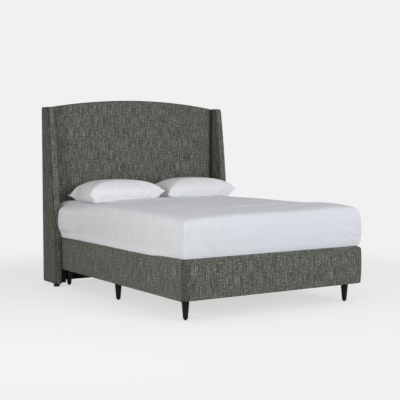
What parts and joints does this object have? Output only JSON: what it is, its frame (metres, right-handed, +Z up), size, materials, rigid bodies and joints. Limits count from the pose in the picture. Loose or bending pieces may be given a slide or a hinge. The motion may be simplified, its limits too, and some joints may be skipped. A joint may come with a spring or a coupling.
{
  "type": "bed",
  "caption": "Upholstered platform bed with an arched, winged headboard, padded rails, turned legs, a slatted deck, a mattress in a fitted sheet and pillows",
  "frame": {"origin": "centre of the bed's footprint at floor level", "axes": "+X to the right seen from the foot end, -Y towards the foot end, +Z up"},
  "size_m": [1.69, 2.095, 1.525],
  "materials": {
    "tweed": "matte heathered weave",
    "lining": "matte woven lining",
    "dust_cloth": "matte non-woven",
    "foam": "matte open-cell foam",
    "pine": "planed, unfinished",
    "ply": "unfinished",
    "espresso": "satin stain",
    "steel": "zinc plated",
    "black_plastic": "matte",
    "webbing": "matte webbing",
    "ticking": "quilted knit",
    "sheet_cotton": "smooth percale",
    "case_cotton": "smooth percale"
  },
  "bodies": {
    "root": {"side_rail_cover_left": "tweed", "side_rail_cover_right": "tweed", "foot_rail_cover": "tweed", "headboard_cover": "tweed", "wing_cover_left": "tweed", "wing_cover_right": "tweed", "headboard_lining": "lining", "headboard_back_cloth": "dust_cloth", "side_rail_padding_left": "foam", "side_rail_padding_right": "foam", "foot_rail_padding": "foam", "headboard_foam": "foam", "wing_padding_left": "foam", "wing_padding_right": "foam", "side_rail_board_left": "pine", "side_rail_board_right": "pine", "foot_rail_board": "pine", "ledger_left": "pine", "ledger_right": "pine", "leg_blocks": "pine", "slats": "pine", "centre_beam": "pine", "centre_posts": "pine", "headboard_top_rail": "pine", "headboard_stiles": "pine", "headboard_cross_rails": "pine", "headboard_anchor_rail": "pine", "headboard_panel": "ply", "wing_core_left": "ply", "wing_core_right": "ply", "leg_foot_left": "espresso", "leg_foot_right": "espresso", "leg_middle_left": "espresso", "leg_middle_right": "espresso", "leg_head_left": "espresso", "leg_head_right": "espresso", "wing_braces": "espresso", "ledger_screws": "steel", "block_screws": "steel", "leg_inserts": "steel", "leg_bolts": "steel", "beam_hangers": "steel", "wing_bolts": "steel", "tee_nuts": "steel", "rail_brackets": "steel", "bracket_bolts": "steel", "bracket_screws": "steel", "glide_screws": "steel", "leg_glides": "black_plastic", "wing_glides": "black_plastic", "slat_straps": "webbing"},
    "mattress": {"mattress": "ticking", "sheet": "sheet_cotton"},
    "pillow_left": {"pillow_left": "ticking", "pillowcase_left": "case_cotton"},
    "pillow_right": {"pillow_right": "ticking", "pillowcase_right": "case_cotton"},
    "levelling_foot_front": {"levelling_foot_front": "black_plastic"},
    "levelling_foot_middle": {"levelling_foot_middle": "black_plastic"},
    "levelling_foot_rear": {"levelling_foot_rear": "black_plastic"}
  },
  "joints": [
    {"name": "mattress_lift", "type": "slide", "parent": "root", "child": "mattress", "axis": [0, 0, 1], "range_m": [0, 1.15]},
    {"name": "pillow_lift_left", "type": "slide", "parent": "mattress", "child": "pillow_left", "axis": [0, 0, 1], "range_m": [0, 0.3]},
    {"name": "pillow_lift_right", "type": "slide", "parent": "mattress", "child": "pillow_right", "axis": [0, 0, 1], "range_m": [0, 0.3]},
    {"name": "levelling_travel_front", "type": "slide", "parent": "root", "child": "levelling_foot_front", "axis": [0, 0, 1], "range_m": [0, 0.01]},
    {"name": "levelling_travel_middle", "type": "slide", "parent": "root", "child": "levelling_foot_middle", "axis": [0, 0, 1], "range_m": [0, 0.01]},
    {"name": "levelling_travel_rear", "type": "slide", "parent": "root", "child": "levelling_foot_rear", "axis": [0, 0, 1], "range_m": [0, 0.01]}
  ]
}
